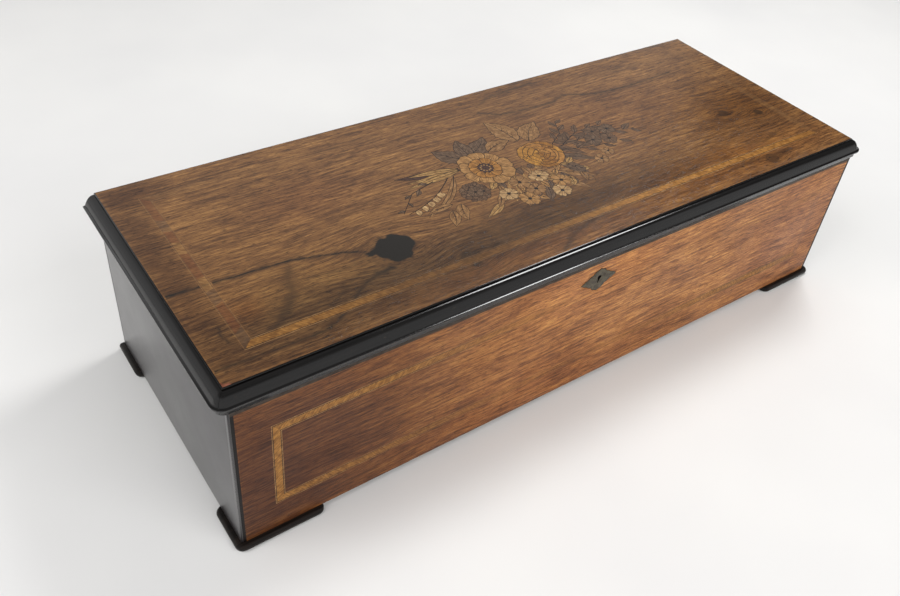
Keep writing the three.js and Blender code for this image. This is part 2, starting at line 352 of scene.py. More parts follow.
def makeEbonised(name, look, along):
    material, tree, shader = newMaterial(name)
    coords = objectCoords(tree)
    stretch = {"X": (0.03, 0.9, 0.9), "Y": (0.9, 0.03, 0.9)}[along]
    grain = cloud(tree, scaled(tree, coords, stretch), 4, 0.6)
    patch = cloud(tree, scaled(tree, coords, (0.03, 0.03, 0.03)), 4, 0.6)
    scuff = cloud(tree, scaled(tree, coords, (0.35, 0.35, 0.35)), 5, 0.65)
    streaks = ranged(tree, grain, 0.35, 0.7)
    tint = blended(tree, streaks, colourOf(look["black"]), colourOf(look["rubbed"]))
    rubbed = maths(tree, "MULTIPLY", ranged(tree, scuff, 0.62, 0.72), ranged(tree, patch, 0.5, 0.7))
    tint = blended(tree, maths(tree, "MULTIPLY", rubbed, 0.5), tint, colourOf(ebonyWear["scuffed"]))

    # the sharp edges are worn in places
    soft = addNode(tree, "ShaderNodeBevel", {"Radius": ebonyWear["reach"] * mm}, samples=6).outputs[0]
    true = addNode(tree, "ShaderNodeNewGeometry").outputs["Normal"]
    both = addNode(tree, "ShaderNodeVectorMath", {0: soft, 1: true}, operation="DOT_PRODUCT")
    nearEdge = ranged(tree, both.outputs["Value"], 0.97, 0.80)
    worn = maths(tree, "MULTIPLY", nearEdge, ranged(tree, scuff, *look["wear"]))
    tint = blended(tree, worn, tint, colourOf(look["worn"]))
    tree.links.new(tint, shader.inputs["Base Color"])
    tree.links.new(ranged(tree, patch, 0.3, 0.7, *look["rough"]), shader.inputs["Roughness"])
    shader.inputs["Specular IOR Level"].default_value = look["mirror"]
    shader.inputs["Coat Weight"].default_value = look["coat"]
    shader.inputs["Coat Roughness"].default_value = ebonyWear["coatRough"]
    addBump(tree, shader, maths(tree, "MULTIPLY_ADD", scuff, 0.3, grain), look["grain"], 0.4)
    return material


liningLook = {
    "stops": [(0.3, "6b4b2e"), (0.5, "8a6640"), (0.7, "a5804f")],
    "rough": (0.55, 0.72),
}


def makeLining(name, along):
    material, tree, shader = newMaterial(name)
    coords = objectCoords(tree)
    stretch = {"X": (0.02, 0.5, 0.5), "Y": (0.5, 0.02, 0.5)}[along]
    grain = cloud(tree, scaled(tree, coords, stretch), 5, 0.6, 0.4)
    fine = cloud(tree, scaled(tree, coords, tuple(5 * s for s in stretch)), 3, 0.6)
    mix = maths(tree, "MULTIPLY_ADD", fine, 0.35, maths(tree, "MULTIPLY", grain, 0.65))
    tree.links.new(ramped(tree, mix, liningLook["stops"]), shader.inputs["Base Color"])
    tree.links.new(ranged(tree, fine, 0.3, 0.7, *liningLook["rough"]), shader.inputs["Roughness"])
    addBump(tree, shader, mix, 0.2, 0.4)
    return material


metalLook = {
    "plate": {"clean": "57503f", "dull": "403a2f", "metal": 0.3, "rough": (0.42, 0.55)},
    "brass": {"clean": "b08a46", "dull": "5d4524", "metal": 1.0, "rough": (0.3, 0.5)},
}


def makeMetal(name, look):
    material, tree, shader = newMaterial(name)
    coords = objectCoords(tree)
    tarnish = cloud(tree, scaled(tree, coords, (0.35, 0.35, 0.35)), 5, 0.65)
    scratch = cloud(tree, scaled(tree, coords, (0.4, 4.0, 4.0)), 3, 0.6)
    dulled = ranged(tree, tarnish, 0.38, 0.62)
    tint = blended(tree, dulled, colourOf(look["clean"]), colourOf(look["dull"]))
    tree.links.new(tint, shader.inputs["Base Color"])
    shader.inputs["Metallic"].default_value = look["metal"]
    tree.links.new(ranged(tree, tarnish, 0.35, 0.65, *look["rough"]), shader.inputs["Roughness"])
    addBump(tree, shader, maths(tree, "MULTIPLY_ADD", scratch, 0.4, tarnish), 0.05, 0.4)
    return material


finishes = {
    "lidVeneer": makeVeneer("lidVeneer", veneerLook["lid"]),
    "frontVeneer": makeVeneer("frontVeneer", veneerLook["front"]),
    "mouldingX": makeEbonised("ebonisedMouldingX", ebonyLook["moulding"], "X"),
    "mouldingY": makeEbonised("ebonisedMouldingY", ebonyLook["moulding"], "Y"),
    "panelX": makeEbonised("ebonisedPanelX", ebonyLook["panel"], "X"),
    "panelY": makeEbonised("ebonisedPanelY", ebonyLook["panel"], "Y"),
    "foot": makeEbonised("ebonisedFoot", ebonyLook["foot"], "X"),
    "liningX": makeLining("bareWoodX", "X"),
    "liningY": makeLining("bareWoodY", "Y"),
    "plate": makeMetal("dullPlate", metalLook["plate"]),
    "brass": makeMetal("agedBrass", metalLook["brass"]),
}
print("finishes made:", len(finishes))


# flat drawing of inlaid pieces, in mm on the face they are let into

quarterTurn = 1.57  # of a piece's grain

tints = {
    "ink": "291910",
    "ebony": "15110f",
    "pale": "c49a66",
    "gold": "c08a44",
    "tan": "bd9159",
    "rose": "c8923f",
    "roseShade": "a8742f",
    "leaf": "a88052",
    "leafDark": "78604a",
    "blade": "c29b60",
    "sprig": "785d45",
    "bell": "cba876",
    "plum": "54392f",
    # painted light: the grey sheen on the lid's left edge, and the dim grey band of shade under the moulding
    # along the top of the front
    "edge": "4a4038",
    "redwood": "865233",
    "rosy": "b07a5c",
    "bare": "98604a",
}


def heading(angle):
    return Vector((math.cos(angle), math.sin(angle)))


def crosswise(lean):
    return Vector((-lean.y, lean.x))


def grown(points, by):
    # the same outline, moved outwards everywhere
    points = [Vector(p) for p in points]
    count = len(points)
    area = sum(points[i - 1].x * points[i].y - points[i].x * points[i - 1].y for i in range(count))
    side = 1 if area > 0 else -1
    moved = []
    for i, here in enumerate(points):
        before = (here - points[i - 1]).normalized()
        after = (points[(i + 1) % count] - here).normalized()
        out = Vector((before.y + after.y, -before.x - after.x))
        reach = out.length / 2
        if reach > 0.05:
            moved.append(tuple(here + out.normalized() * side * by / max(reach, 0.55)))
        else:
            moved.append(tuple(here + (before - after) * 0.5 * by))
    return moved


def lay(sheet, points, tint, turn=0.0, edge=0.5):
    if edge:
        sheet.append({"points": grown(points, edge), "tint": "ink", "turn": 0.0})
    sheet.append({"points": [tuple(p) for p in points], "tint": tint, "turn": turn})


def strip(points, startWidth, endWidth):
    points = [Vector(p) for p in points]
    count = len(points)
    left, right = [], []
    for i, here in enumerate(points):
        along = (points[min(i + 1, count - 1)] - points[max(i - 1, 0)]).normalized()
        across = crosswise(along)
        half = (startWidth + (endWidth - startWidth) * i / (count - 1)) / 2
        left.append(here + across * half)
        right.append(here - across * half)
    return left + right[::-1]


def addLine(sheet, path, startWidth, endWidth, tint="ink"):
    sheet.append({"points": strip(path, startWidth, endWidth), "tint": tint, "turn": 0.0})


def bowed(start, end, bend, steps=9):
    start, end = Vector(start), Vector(end)
    along = end - start
    across = crosswise(along).normalized()
    points = []
    for i in range(steps + 1):
        points.append(start + along * (i / steps) + across * bend * math.sin(math.pi * i / steps))
    return points


def leafOutline(base, tip, width, bend=0.0, teeth=0.0, steps=12):
    spine = bowed(base, tip, bend, steps)
    left, right = [], []
    for i in range(1, steps):
        along = (spine[i + 1] - spine[i - 1]).normalized()
        across = crosswise(along)
        half = width / 2 * math.sin(math.pi * (i / steps) ** 0.8) * (1 + teeth * (i % 2))
        left.append(spine[i] + across * half)
        right.append(spine[i] - across * half)
    return [spine[0]] + left + [spine[-1]] + right[::-1]


def addLeaf(sheet, base, tip, width, tint="leaf", bend=0.0, teeth=0.0, ribs=4, edge=0.5):
    along = Vector(tip) - Vector(base)
    lay(sheet, leafOutline(base, tip, width, bend, teeth), tint, -math.atan2(along.y, along.x), edge)
    spine = bowed(base, tip, bend, 12)
    addLine(sheet, spine[:-1], 0.7, 0.25)
    for k in range(1, ribs + 1):
        place = spine[int(1 + 9 * k / (ribs + 1))]
        lean = along.normalized()
        for side in (-1, 1):
            out = crosswise(lean) * side
            reach = width * 0.36 * math.sin(math.pi * (k + 0.5) / (ribs + 1.5))
            if reach > 1.2:
                middle = place + (out + lean) * reach * 0.5
                end = place + (out + lean * 1.2) * reach * 0.85
                addLine(sheet, [place, middle, end], 0.4, 0.15)


def petalOutline(centre, angle, inner, outer, width, notch=0.06):
    profile = [(0.0, 0.10), (0.3, 0.30), (0.6, 0.48), (0.82, 0.47), (0.96, 0.26)]
    lean = heading(angle)
    across = crosswise(lean)
    centre = Vector(centre)
    length = outer - inner
    left = [centre + lean * (inner + length * u) + across * width * v for u, v in profile]
    right = [centre + lean * (inner + length * u) - across * width * v for u, v in profile]
    return left + [centre + lean * (outer - length * notch)] + right[::-1]


def addBlossom(sheet, centre, radius, tint="tan", shade="gold", petals=9, seed=1):
    # an open flower: two rings of petals round a dark, dotted eye
    draw = random.Random(seed)
    centre = Vector(centre)
    for ring, (inner, outer, colour) in enumerate(((0.30, 1.0, tint), (0.16, 0.62, shade))):
        for k in range(petals):
            angle = 2 * math.pi * (k + 0.5 * ring) / petals + draw.uniform(-0.08, 0.08)
            reach = radius * outer * draw.uniform(0.9, 1.06)
            width = 2 * math.pi * radius * outer / petals * 0.92
            lay(sheet, petalOutline(centre, angle, radius * inner, reach, width), colour, -angle)
            for side in (-0.3, 0.0, 0.3):
                start = centre + heading(angle + side * 0.5) * reach * 0.5
                end = centre + heading(angle + side * 0.4) * reach * 0.8
                addLine(sheet, [start, end], 0.35, 0.12)
    lay(sheet, ringOutline(centre, radius * 0.26, 11, 0.09), "plum", 0.0)
    dots = 10
    for k in range(dots):
        dot = centre + heading(2 * math.pi * k / dots) * radius * 0.17
        lay(sheet, ringOutline(dot, radius * 0.035, 6, 0.0, 6), "blade", 0.0, 0.0)


def ringOutline(centre, radius, lobes=0, depth=0.0, steps=22):
    centre = Vector(centre)
    points = []
    for i in range(steps):
        angle = 2 * math.pi * i / steps
        reach = radius * (1 + depth * math.cos(lobes * angle))
        points.append(centre + heading(angle) * reach)
    return points


def addRose(sheet, centre, radius, seed=3):
    # rings of round petals that turn inwards, each ring smaller and half a step round
    draw = random.Random(seed)
    centre = Vector(centre)
    for ring, (share, count) in enumerate(((1.0, 7), (0.78, 6), (0.56, 5), (0.36, 4))):
        for k in range(count):
            angle = 2 * math.pi * (k + 0.45 * ring) / count + draw.uniform(-0.1, 0.1)
            reach = radius * share * draw.uniform(0.92, 1.05)
            width = 2 * math.pi * radius * share / count * 1.05
            colour = ("rose", "roseShade", "gold", "rose")[(ring + k) % 4]
            outline = petalOutline(centre, angle, radius * share * 0.15, reach, width, 0.02)
            lay(sheet, outline, colour, -angle)
            lean = heading(angle)
            start = centre + lean * reach * 0.62
            arc = []
            for side in (-1, 0, 1):
                arc.append(start + crosswise(lean) * width * side * 0.3 - lean * abs(side) * radius * 0.05)
            addLine(sheet, arc, 0.3, 0.3)
    lay(sheet, ringOutline(centre, radius * 0.13, 3, 0.1, 12), "roseShade", 0.4)


def addDaisy(sheet, centre, radius, tint, petals=7, seed=0):
    draw = random.Random(seed)
    for k in range(petals):
        angle = 2 * math.pi * k / petals + draw.uniform(-0.15, 0.15)
        reach = radius * draw.uniform(0.85, 1.1)
        outline = petalOutline(centre, angle, radius * 0.12, reach, radius * 0.75, 0.1)
        lay(sheet, outline, tint, -angle, 0.33)
    lay(sheet, ringOutline(centre, radius * 0.2, 0, 0.0, 8), "ink", 0.0, 0.0)


def addSprig(sheet, path, length, tint, count, seed):
    # a stem with leaves on both sides, smaller towards its tip
    draw = random.Random(seed)
    points = [Vector(p) for p in path]
    addLine(sheet, points, 0.9, 0.45)
    spans = [(points[i + 1] - points[i]).length for i in range(len(points) - 1)]
    whole = sum(spans)
    for k in range(count):
        far = whole * (k + 0.6) / count
        for i, span in enumerate(spans):
            if far <= span or i == len(spans) - 1:
                break
            far -= span
        here = points[i].lerp(points[i + 1], min(1.0, far / spans[i]))
        lean = (points[i + 1] - points[i]).normalized()
        side = 1 if k % 2 else -1
        angle = math.atan2(lean.y, lean.x) + side * draw.uniform(0.5, 0.9)
        size = length * draw.uniform(0.75, 1.1) * (1 - 0.35 * k / count)
        addLeaf(sheet, here, here + heading(angle) * size, size * 0.42, tint, side * 0.6, 0.0, 0, 0.33)


bouquet = {
    "middle": (0.0, 3.0),  # on the lid board, and the rest is in mm from there
    "sprays": (
        # path, length of a leaf, colour, leaves, seed
        (((38, 2), (62, 4), (92, 2), (120, -3)), 17, "sprig", 11, 5),
        (((42, 8), (58, 18), (66, 34)), 12, "sprig", 7, 6),
        (((50, 4), (72, 14), (98, 14)), 14, "sprig", 8, 7),
        (((44, -2), (70, -10), (100, -12)), 13, "sprig", 7, 8),
    ),
    "sprayFlowers": ((84, 8), (98, 6), (90, -6), (76, -2)),
    "stems": ((-14, -44), (-10, -30), (-4, -12), (2, 8), (8, 26), (-12, -22)),  # x at both ends
    "upperLeaves": (
        # base, tip, width, colour, bend, teeth
        ((-32, 22), (-49, 41), 15, "leafDark", 2, 0.12),
        ((-28, 24), (-2, 41), 16, "leafDark", -3, 0.12),
        ((-26, 22), (-24, 46), 13, "leafDark", 1, 0.1),
        ((20, 24), (12, 58), 19, "leaf", -2, 0.12),
        ((28, 20), (50, 41), 17, "leaf", 2, 0.12),
        ((-10, 22), (14, 28), 13, "leaf", 2, 0.1),
    ),
    "blades": (((-88, 13), 1), ((-84, 20), -1), ((-80, 8), 1), ((-92, 8), 0)),  # tip and bend
    "bells": 5,
    "leftLeaves": (
        # base, tip, width, bend
        ((-74, -22), (-95, -24), 6, -1),
        ((-78, -28), (-86, -44), 8, 1),
        ((-68, -24), (-74, -42), 9, -1),
    ),
    "darkFlower": ((-50.4, -17), 9),  # place and how many heads
    "lowLeaves": (
        # base, tip, width
        ((20, -22), (44, -42), 9), ((30, -14), (42, -36), 10), ((12, -30), (30, -52), 8),
        ((36, -8), (60, -24), 8), ((-16, -30), (-26, -50), 7), ((2, -34), (-8, -52), 7),
    ),
    "smallLeaves": 34,
    "lowFlowers": ((-30, -30), (-20, -42), (-8, -34), (8, -45), (16, -34), (-14, -22), (4, -22)),
    "blossom": ((-25.2, 4.9), 22.0),  # place and radius
    "rose": ((25.2, 0.5), 18.5),
}


def drawBouquet():
    sheet = []
    # the dark spray on the right, and its stems
    for spray in bouquet["sprays"]:
        addSprig(sheet, *spray)
    for k, spot in enumerate(bouquet["sprayFlowers"]):
        addDaisy(sheet, spot, 7.5, ("sprig", "leafDark")[k % 2], 7, 30 + k)
    # stems gathered under the flowers
    for k, (x0, x1) in enumerate(bouquet["stems"]):
        addLine(sheet, bowed((x0, -8), (x1, -40), 3 - k), 1.6, 0.8, "blade")
    # dark leaves above, and the pale pair over the rose
    for leaf in bouquet["upperLeaves"]:
        addLeaf(sheet, *leaf)
    # blades and the plum sheath on the left
    addLeaf(sheet, (-48, 16), (-94, 22), 7, "plum", 2, 0.0, 0)
    for k, (tip, bend) in enumerate(bouquet["blades"]):
        addLeaf(sheet, (-44, 14 - k), tip, 5, "blade", bend, 0.0, 0, 0.33)
    addSprig(sheet, [(-70, 8), (-92, 2), (-110, -16)], 8, "leafDark", 5, 9)
    # bells hanging from a thin stem
    stem = bowed((-58, 7), (-107, -18), 4, 8)
    addLine(sheet, stem, 0.8, 0.5)
    for k in range(bouquet["bells"]):
        spot = stem[3 + k] + Vector((0.5, -3.4))
        outline = leafOutline(spot + Vector((1, 3.4)), spot - Vector((1.2, 3)), 6.2 - 0.4 * k, 0, 0, 8)
        lay(sheet, outline, "bell", 1.5, 0.33)
    addLeaf(sheet, (-53, 7), (-97, -27), 5.5, "leaf", 6, 0.0, 0, 0.33)
    # leaves and the dark flower, lower left
    for base, tip, width, bend in bouquet["leftLeaves"]:
        addLeaf(sheet, base, tip, width, "leaf", bend, 0.0, 2, 0.33)
    place, heads = bouquet["darkFlower"]
    for k in range(heads):
        spot = Vector(place) + heading(0.4 + 2 * math.pi * k / heads) * 6.5
        addDaisy(sheet, spot, 5.4, "sprig", 6, 50 + k)
    addDaisy(sheet, place, 6, "leafDark", 7, 60)
    # small leaves and pale flowers along the bottom
    addLeaf(sheet, (-40, -36), (-60, -46), 6, "blade", 1, 0.0, 0, 0.33)
    addLeaf(sheet, (-36, -28), (-46, -40), 5, "leaf", 1, 0.0, 2, 0.33)
    for k, (base, tip, width) in enumerate(bouquet["lowLeaves"]):
        addLeaf(sheet, base, tip, width, ("leaf", "leafDark")[k % 2], 1, 0.0, 3, 0.33)
    draw = random.Random(17)
    for k in range(bouquet["smallLeaves"]):
        spot = Vector((draw.uniform(-34, 44), draw.uniform(-42, -10)))
        lean = heading(draw.uniform(-2.6, -0.4))
        tip = spot + lean * draw.uniform(7, 13)
        colour = ("leaf", "tan", "leafDark", "blade")[k % 4]
        addLeaf(sheet, spot, tip, draw.uniform(3.5, 6), colour, 0.6, 0.0, 1, 0.4)
    for k, spot in enumerate(bouquet["lowFlowers"]):
        addDaisy(sheet, spot, 8.0, ("bell", "tan", "leaf")[k % 3], 6, 70 + k)
    addDaisy(sheet, (64, -26), 6.5, "leaf", 5, 90)
    addDaisy(sheet, (76, -20), 5.5, "leaf", 5, 91)
    for k in range(7):
        spot = (-12 + 6 * k, -12 - 3 * (k % 3))
        addLeaf(sheet, (spot[0], -6), spot, 6, ("leaf", "sprig")[k % 2], 1, 0.0, 0, 0.33)
    addBlossom(sheet, *bouquet["blossom"])
    addRose(sheet, *bouquet["rose"])
    middle = Vector(bouquet["middle"])
    for piece in sheet:
        piece["points"] = [tuple(Vector(p) + middle) for p in piece["points"]]
    return sheet


def cornersOf(rect):
    x0, x1, y0, y1 = rect
    return [Vector(p) for p in ((x0, y0), (x1, y0), (x1, y1), (x0, y1))]


def addRing(sheet, rect, widths, colours, turns, fades=None, joints=12):
    # four mitred strips just inside a rectangle, and the rectangle that is left;
    # a fade says how far each strip stands out from the wood along its length
    side, level = widths
    inner = (rect[0] + side, rect[1] - side, rect[2] + level, rect[3] - level)
    outerEnds, innerEnds = cornersOf(rect), cornersOf(inner)
    for k in range(4):
        following = (k + 1) % 4
        tint = colours[k] if isinstance(colours[k], tuple) else (colours[k],)
        fade = (outerEnds[k], outerEnds[following], fades[k]) if fades else None
        count = joints if fade or len(tint) > 1 else 1
        for i in range(count):
            ends = (i / count, (i + 1) / count)
            outside = [tuple(outerEnds[k].lerp(outerEnds[following], u)) for u in ends]
            inside = [tuple(innerEnds[k].lerp(innerEnds[following], u)) for u in reversed(ends)]
            sheet.append({
                "points": outside + inside,
                "tint": tint[i % len(tint)],
                "turn": turns[k],
                "fade": fade,
            })
    return inner


leftSegments = ("redwood", "redwood", "leafDark", "redwood", "tan", "redwood", "redwood", "tan", "leafDark",
                "redwood", "redwood", "leafDark")

lidInlay = {
    "edgeStrip": 0.5,
    "frameInset": (22.6, 19.5, 20.4, 19.5),  # from the board's left, right, front and back
    "frameParts": [
        # width, colours of front, right, back and left, turns of the grain
        (0.5, ("pale", "leaf", "leaf", "leaf"), (0, 0, 0, 0)),
        (0.5, ("ink", "sprig", "sprig", "sprig"), (0, 0, 0, 0)),
        (5.2, ("gold", "leaf", "leaf", leftSegments), (0.9, 0.7, 0.9, 0.7)),
        (0.5, ("ink", "sprig", "sprig", "sprig"), (0, 0, 0, 0)),
        (0.5, ("pale", "leaf", "leaf", "leaf"), (0, 0, 0, 0)),
    ],
    "fades": (
        # how far each strip stands out, at places from its start to its end
        ((0, 0.6), (0.12, 0.6), (0.22, 0.2), (0.38, 0.25), (0.5, 0.6), (0.62, 1), (0.9, 1), (1, 0.6)),
        ((0, 0.12), (0.2, 0.40), (0.5, 0.25), (0.8, 0.40), (1, 0.30)),
        ((0, 0.30), (0.08, 0.18), (0.6, 0.06), (0.9, 0.20), (1, 0.35)),
        ((0, 0.45), (0.5, 0.5), (1, 0.4)),
    ),
    # veneer lost at the front left corner, in mm from it
    "chip": ((0, 0), (6.5, 0), (5, 2.4), (2.2, 2.8), (1.4, 4.5), (0, 4.1)),
}

lidMarks = {
    "veins": [
        # points, width, strength
        ([(-279, -16.0), (-243, -17.5), (-199, -20.5), (-166, -29.3), (-148, -38.3),
          (-140, -40.3)], 1.3, 0.95),
        ([(-152, -38.5), (-143, -37.5), (-136, -39)], 3.4, 1.4),
        ([(-150, -57), (-157, -58.5), (-169, -62), (-178, -68), (-187, -75), (-199, -82.8), (-211, -87.2),
          (-237, -87.2), (-279, -85.8)], 1.3, 0.7),
        ([(-147, -57), (-158, -58.5)], 2.6, 0.75),
        ([(-203, -27), (-209, -35), (-211, -46), (-218, -56), (-228, -66), (-240, -75)], 4.2, 0.5),
        ([(-148, -40.3), (-176, -44.3), (-200, -40.3)], 1.2, 0.35),
        ([(-156, -50), (-175, -56), (-196, -70), (-204, -80)], 0.9, 0.35),
        ([(17.8, 75.7), (32.6, 65.8), (60, 62.8), (86, 62.8), (101, 68.5), (119, 61.3), (133, 57.2),
          (166, 55.2), (193, 56.6), (220, 58)], 1.3, 0.7),
        ([(4, -80), (-17.8, -85.8), (-26, -91), (-37, -98)], 2.2, 0.6),
        ([(26.7, 86.2), (38.6, 92.3), (60, 95), (89, 97)], 2.0, 0.5),
        ([(150, -84), (176, -82), (196, -86), (216, -84)], 2.6, 0.45),
        ([(96, -70), (130, -67), (158, -70)], 1.8, 0.35),
        ([(190, -62), (206, -66), (226, -62)], 2.6, 0.45),
        ([(-262, -70), (-264, -62), (-262, -54)], 1.0, 0.6),
    ],
    "knots": [
        # middle, radius, strength
        ((-134.5, -41.2), 12.6, 1.5),
        ((-97.3, -74), 8.0, 0.5),
        ((207.7, -19), 5.0, 0.5),
        ((238.9, -31), 4.2, 0.6),
        ((189.9, -87.3), 6.0, 0.55),
        ((-148, -57.3), 3.2, 0.6),
    ],
    "stains": [
        # middle, reach along and across, colour that the wood is multiplied by
        ((-270, 10), (13, 90), (0.50, 0.47, 0.50)),
        ((-262, 92), (26, 14), (0.55, 0.50, 0.52)),
        ((-205, -52), (54, 27), (1.10, 1.12, 1.02)),
        ((-243, -50), (12, 11), (0.80, 0.68, 0.62)),
        ((-160, 35), (45, 25), (0.86, 0.80, 0.84)),
        ((60, 92), (120, 12), (0.86, 0.82, 0.80)),
        ((150, -76), (120, 20), (1.15, 0.98, 0.66)),
        ((-150, -74), (150, 32), (0.46, 0.48, 0.54)),
        ((20, -62), (120, 24), (0.48, 0.46, 0.42)),
        ((230, -20), (60, 40), (0.66, 0.58, 0.46)),
        ((120, 30), (90, 40), (0.95, 0.90, 0.92)),
        ((-60, -88), (110, 12), (1.10, 0.96, 0.84)),
    ],
}

frontInlay = {
    "cornerStrip": 3.3,
    # height of the band of painted shade along the top of the front
    "topStrip": 3.2,
    "frame": (-255.9, 255.9, 28.9, 102.2),
    "frameParts": [
        (0.5, ("pale", "pale", "pale", "pale"), (0, 0, 0, 0)),
        (0.45, ("ink", "ink", "ink", "ink"), (0, 0, 0, 0)),
        (4.9, ("gold", "rosy", "gold", "gold"), (0.9, 0.7, -0.9, -0.7)),
        (0.45, ("ink", "ink", "ink", "ink"), (0, 0, 0, 0)),
        (0.5, ("pale", "pale", "pale", "pale"), (0, 0, 0, 0)),
    ],
    "fades": (
        ((0, 0.9), (0.12, 0.65), (0.3, 0.35), (0.5, 0.18), (0.65, 0.3), (0.8, 0.9), (0.95, 0.9), (1, 0.4)),
        ((0, 0.55), (0.5, 0.35), (1, 0.5)),
        ((0, 0.22), (0.25, 0.10), (0.5, 0.10), (0.7, 0.45), (0.85, 0.9), (1, 1)),
        ((0, 1), (1, 1)),
    ),
}

frontMarks = {
    "veins": [],
    "knots": [],
    "stains": [
        ((-262, 60), (140, 120), (0.25, 0.20, 0.22)),
        ((-60, 20), (140, 30), (0.82, 0.74, 0.72)),
        ((-4, 108), (60, 22), (1.14, 1.12, 1.16)),
        ((120, 70), (120, 50), (1.05, 1.12, 1.30)),
        ((240, 60), (80, 60), (0.86, 0.82, 0.98)),
    ],
}


def distanceTo(points, path):
    # distance from many points to a bent line
    best = np.full(len(points), 1e9)
    for start, end in zip(path[:-1], path[1:]):
        a, b = np.array(start, float), np.array(end, float)
        along = b - a
        share = np.clip(((points - a) @ along) / (along @ along), 0, 1)
        best = np.minimum(best, np.linalg.norm(points - a - share[:, None] * along, axis=1))
    return best


def bumpy(points, pace, seed):
    return np.array([noise.noise(Vector((x * pace, y * pace, seed))) for x, y in points])


def markSheet(points, marks):
    # how dark the veins and knots are, how far the grain is pushed aside, and the stains
    count = len(points)
    vein, flow, stain = np.zeros(count), np.zeros(count), np.ones((count, 3))
    rough = bumpy(points, 0.22, 5.0)
    uneven = bumpy(points, 0.11, 9.0)
    for path, width, strength in marks["veins"]:
        away = distanceTo(points, path) / (width * (1 + 0.8 * rough))
        vein = np.maximum(vein, strength * np.exp(-away ** 2))
        vein = np.maximum(vein, 0.28 * strength * np.exp(-(away / 3.2) ** 2))
    for (x, y), radius, strength in marks["knots"]:
        dx, dy = points[:, 0] - x, points[:, 1] - y
        away = np.hypot(dx, dy) / (radius * (1 + 0.38 * uneven + 0.10 * rough))
        vein = np.maximum(vein, strength * np.clip((1.12 - away) / 0.16, 0, 1))
        flow += -dy * 0.75 * np.exp(-(dx / (2.6 * radius)) ** 2 - (dy / (1.9 * radius)) ** 2)
    for (x, y), (along, across), colour in marks["stains"]:
        away = ((points[:, 0] - x) / along) ** 2 + ((points[:, 1] - y) / across) ** 2
        share = np.exp(-away ** 1.4)
        stain *= 1 + share[:, None] * (np.array(colour) - 1)
    return vein, flow, stain


def gridOver(box, first, last, step):
    x0, x1, y0, y1 = box
    rows = np.arange(y0 + first, y1 - last, step)
    return [(x, y) for x in np.arange(x0 + first, x1 - last, step) for y in rows]


def gridPoints(box, marks):
    # a coarse grid all over, and a fine one along the veins and round the knots
    coarse = gridOver(box, 3, 2, 5.0)
    fine = np.array(gridOver(box, 1, 0.5, 1.3))
    near = np.zeros(len(fine), bool)
    for path, width, _ in marks["veins"]:
        near |= distanceTo(fine, path) < 2.2 * width
    for spot, radius, _ in marks["knots"]:
        near |= np.abs(np.linalg.norm(fine - np.array(spot), axis=1) - radius) < 0.45 * radius
    return coarse + [tuple(p) for p in fine[near]]


def linkPiece(name, mesh, node):
    piece = bpy.data.objects.new(name, mesh)
    scene.collection.objects.link(piece)
    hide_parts(node)
    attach(piece, bodyOf[node])
    return piece


def loopsOf(edges):
    # ordered rings of vertices along boundary edges
    nextTo = {}
    for edge in edges:
        a, b = edge.verts
        nextTo.setdefault(a, []).append(b)
        nextTo.setdefault(b, []).append(a)
    loops, seen = [], set()
    for start in nextTo:
        if start in seen:
            continue
        ring, here = [start], start
        seen.add(start)
        while True:
            ahead = [v for v in nextTo[here] if v not in seen]
            if not ahead:
                break
            here = ahead[0]
            seen.add(here)
            ring.append(here)
        loops.append(ring)
    return loops


def turnedLeft(outline):
    area = sum(a[0] * b[1] - b[0] * a[1] for a, b in zip(outline, outline[1:] + outline[:1]))
    return outline if area > 0 else outline[::-1]


def shareAt(spot, fade):
    if not fade:
        return 1.0
    start, end, stops = fade
    along = end - start
    place = (spot - start).dot(along) / along.length_squared
    return float(np.interp(place, [p for p, _ in stops], [share for _, share in stops]))


def otherAxis(axis):
    return 1 if axis == 2 else 2


def takeOffFace(form, axis, level):
    # remove the flat face, and give back its outlines in mm with the outer one first
    flat = [f for f in form.faces if all(abs(v.co[axis] - level) < 2e-5 for v in f.verts)]
    flatSet = set(flat)
    rim = [e for f in flat for e in f.edges if len([g for g in e.link_faces if g in flatSet]) == 1]
    other = otherAxis(axis)
    loops = [[(v.co.x / mm, v.co[other] / mm) for v in ring] for ring in loopsOf(set(rim))]
    loops.sort(key=lambda ring: -max(x for x, _ in ring) + min(x for x, _ in ring))
    bmesh.ops.delete(form, geom=flat, context="FACES")
    return loops


